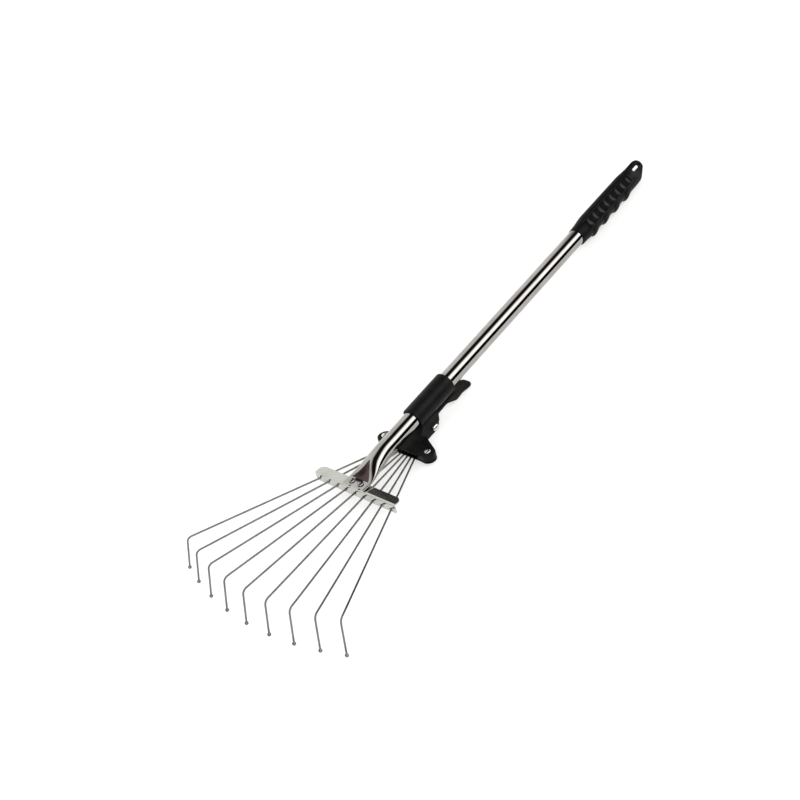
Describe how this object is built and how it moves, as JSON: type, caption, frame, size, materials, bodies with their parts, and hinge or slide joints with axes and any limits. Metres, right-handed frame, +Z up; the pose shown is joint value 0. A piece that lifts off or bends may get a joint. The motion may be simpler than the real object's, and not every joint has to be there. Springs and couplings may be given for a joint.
{
  "type": "leaf rake",
  "caption": "Adjustable leaf rake: tube handle with a finger-grooved grip, slotted spreader bracket, wire tines and a lever-locked sliding tine holder.",
  "frame": {"origin": "below the middle of the bounding box, on the surface the rake lies on, prongs down", "axes": "+Y from the tines to the hand grip, +Z up, +X across the tines; the tube dips about 2 degrees towards the grip, as the rake lies"},
  "size_m": [0.2698, 0.8164, 0.0595],
  "materials": {
    "tube": "polished chromed or stainless steel tube",
    "sheet": "bright plated pressed steel, faint rolling grain",
    "wire": "bright drawn steel wire",
    "fastener": "bright plated",
    "slider": "black moulded plastic, satin with a fine grain",
    "lever": "black moulded plastic, satin",
    "grip": "soft black moulded plastic, satin",
    "pad": "dark moulded brake pad"
  },
  "bodies": {
    "root": {"handle_tube": "tube", "hand_grip": "grip", "spreader_bracket": "sheet", "bracket_rivet_left": "fastener", "bracket_rivet_right": "fastener"},
    "slider": {"slider_body": "slider", "holder_plate": "slider", "holder_rivet_left": "fastener", "holder_rivet_right": "fastener", "brake_pad": "pad", "pivot_bolt": "fastener", "pivot_nut": "fastener"},
    "lever": {"cam_lever": "lever"},
    "tine_1": {"tine_1": "wire"},
    "tine_2": {"tine_2": "wire"},
    "tine_3": {"tine_3": "wire"},
    "tine_4": {"tine_4": "wire"},
    "tine_5": {"tine_5": "wire"},
    "tine_6": {"tine_6": "wire"},
    "tine_7": {"tine_7": "wire"},
    "tine_8": {"tine_8": "wire"},
    "tine_9": {"tine_9": "wire"}
  },
  "joints": [
    {"name": "slider_slide", "type": "slide", "parent": "root", "child": "slider", "axis": [0, 0.9993, -0.0366], "range_m": [0, 0.06]},
    {"name": "lever_pivot", "type": "hinge", "parent": "slider", "child": "lever", "pos_m": [0, -0.08623, 0.0086], "axis": [-1, 0, 0], "range_deg": [0, 95]},
    {"name": "tine_1_swing", "type": "hinge", "parent": "slider", "child": "tine_1", "pos_m": [-0.0174, -0.12517, 0.00743], "axis": [0.328, 0.0345, 0.9441], "range_deg": [0, 10.47]},
    {"name": "tine_2_swing", "type": "hinge", "parent": "slider", "child": "tine_2", "pos_m": [-0.01305, -0.12517, 0.00743], "axis": [0.4201, 0.0332, 0.9069], "range_deg": [0, 8.65]},
    {"name": "tine_3_swing", "type": "hinge", "parent": "slider", "child": "tine_3", "pos_m": [-0.0087, -0.12517, 0.00743], "axis": [0.5703, 0.03, 0.8209], "range_deg": [0, 6.66]},
    {"name": "tine_4_swing", "type": "hinge", "parent": "slider", "child": "tine_4", "pos_m": [-0.00435, -0.12517, 0.00743], "axis": [0.8115, 0.0214, 0.584], "range_deg": [0, 4.82]},
    {"name": "tine_5_swing", "type": "hinge", "parent": "slider", "child": "tine_5", "pos_m": [0, -0.12517, 0.00743], "axis": [1, 0, 0], "range_deg": [0, 3.95]},
    {"name": "tine_6_swing", "type": "hinge", "parent": "slider", "child": "tine_6", "pos_m": [0.00435, -0.12517, 0.00743], "axis": [0.8115, -0.0214, -0.584], "range_deg": [0, 4.82]},
    {"name": "tine_7_swing", "type": "hinge", "parent": "slider", "child": "tine_7", "pos_m": [0.0087, -0.12517, 0.00743], "axis": [0.5703, -0.03, -0.8209], "range_deg": [0, 6.66]},
    {"name": "tine_8_swing", "type": "hinge", "parent": "slider", "child": "tine_8", "pos_m": [0.01305, -0.12517, 0.00743], "axis": [0.4201, -0.0332, -0.9069], "range_deg": [0, 8.65]},
    {"name": "tine_9_swing", "type": "hinge", "parent": "slider", "child": "tine_9", "pos_m": [0.0174, -0.12517, 0.00743], "axis": [0.328, -0.0345, -0.9441], "range_deg": [0, 10.47]}
  ],
  "couplings": [
    {"joint": "tine_1_swing", "follows": "slider_slide", "rad_per_m": 3.032},
    {"joint": "tine_2_swing", "follows": "slider_slide", "rad_per_m": 2.503},
    {"joint": "tine_3_swing", "follows": "slider_slide", "rad_per_m": 1.9228},
    {"joint": "tine_4_swing", "follows": "slider_slide", "rad_per_m": 1.3872},
    {"joint": "tine_5_swing", "follows": "slider_slide", "rad_per_m": 1.1357},
    {"joint": "tine_6_swing", "follows": "slider_slide", "rad_per_m": 1.3872},
    {"joint": "tine_7_swing", "follows": "slider_slide", "rad_per_m": 1.9228},
    {"joint": "tine_8_swing", "follows": "slider_slide", "rad_per_m": 2.503},
    {"joint": "tine_9_swing", "follows": "slider_slide", "rad_per_m": 3.032}
  ]
}
